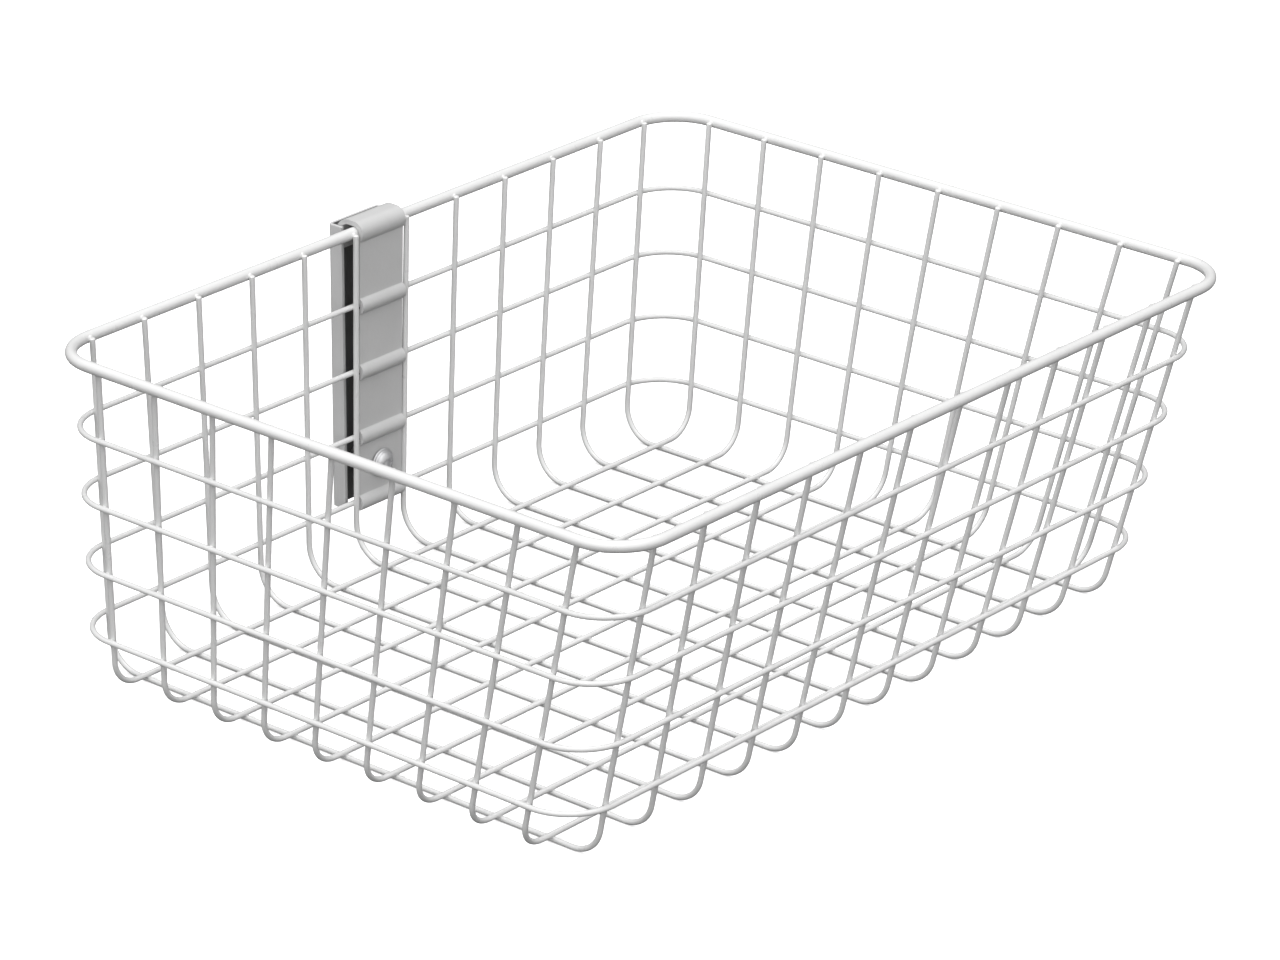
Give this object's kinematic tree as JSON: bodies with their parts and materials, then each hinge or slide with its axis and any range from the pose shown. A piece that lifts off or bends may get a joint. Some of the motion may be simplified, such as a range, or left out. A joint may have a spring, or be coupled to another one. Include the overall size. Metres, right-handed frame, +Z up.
{
  "type": "wire basket with clamp bracket",
  "caption": "Rectangular open-top welded wire basket with tapered walls and a ribbed hook plate that clamps over the rim onto a vertical mounting channel.",
  "frame": {"origin": "middle of the whole part in X and Y, at the underside of the lowest wires", "axes": "+X along the long side, +Y towards the back wall that carries the bracket, +Z up"},
  "size_m": [0.3606, 0.2968, 0.1428],
  "materials": {
    "wire_coat": "satin white powder coat on steel wire",
    "bracket_coat": "satin light grey powder coat on sheet steel",
    "fastener_steel": "zinc-plated steel"
  },
  "bodies": {
    "basket": {"rim_wire": "wire_coat", "ring_wire_1": "wire_coat", "ring_wire_2": "wire_coat", "ring_wire_3": "wire_coat", "ring_wire_4": "wire_coat", "cross_wire_01": "wire_coat", "cross_wire_02": "wire_coat", "cross_wire_03": "wire_coat", "cross_wire_04": "wire_coat", "cross_wire_05": "wire_coat", "cross_wire_06": "wire_coat", "cross_wire_07": "wire_coat", "cross_wire_08": "wire_coat", "cross_wire_09": "wire_coat", "cross_wire_10": "wire_coat", "cross_wire_11": "wire_coat", "cross_wire_12": "wire_coat", "long_wire_01": "wire_coat", "long_wire_02": "wire_coat", "long_wire_03": "wire_coat", "long_wire_04": "wire_coat", "long_wire_05": "wire_coat", "long_wire_06": "wire_coat", "long_wire_07": "wire_coat", "long_wire_08": "wire_coat", "long_wire_09": "wire_coat", "hook_plate": "bracket_coat"},
    "screw": {"clamp_screw": "fastener_steel"},
    "channel": {"mount_channel": "bracket_coat", "clamp_nut": "fastener_steel"}
  },
  "joints": [
    {"name": "screw_turn", "type": "hinge", "parent": "basket", "child": "screw", "pos_m": [0, 0.13, 0.0378], "axis": [0, -1, 0], "range_deg": [0, 1081]},
    {"name": "channel_release", "type": "slide", "parent": "basket", "child": "channel", "axis": [0, 1, 0], "range_m": [0, 0.003]}
  ],
  "couplings": [
    {"joint": "screw_turn", "follows": "channel_release", "rad_per_m": 6283.2}
  ]
}
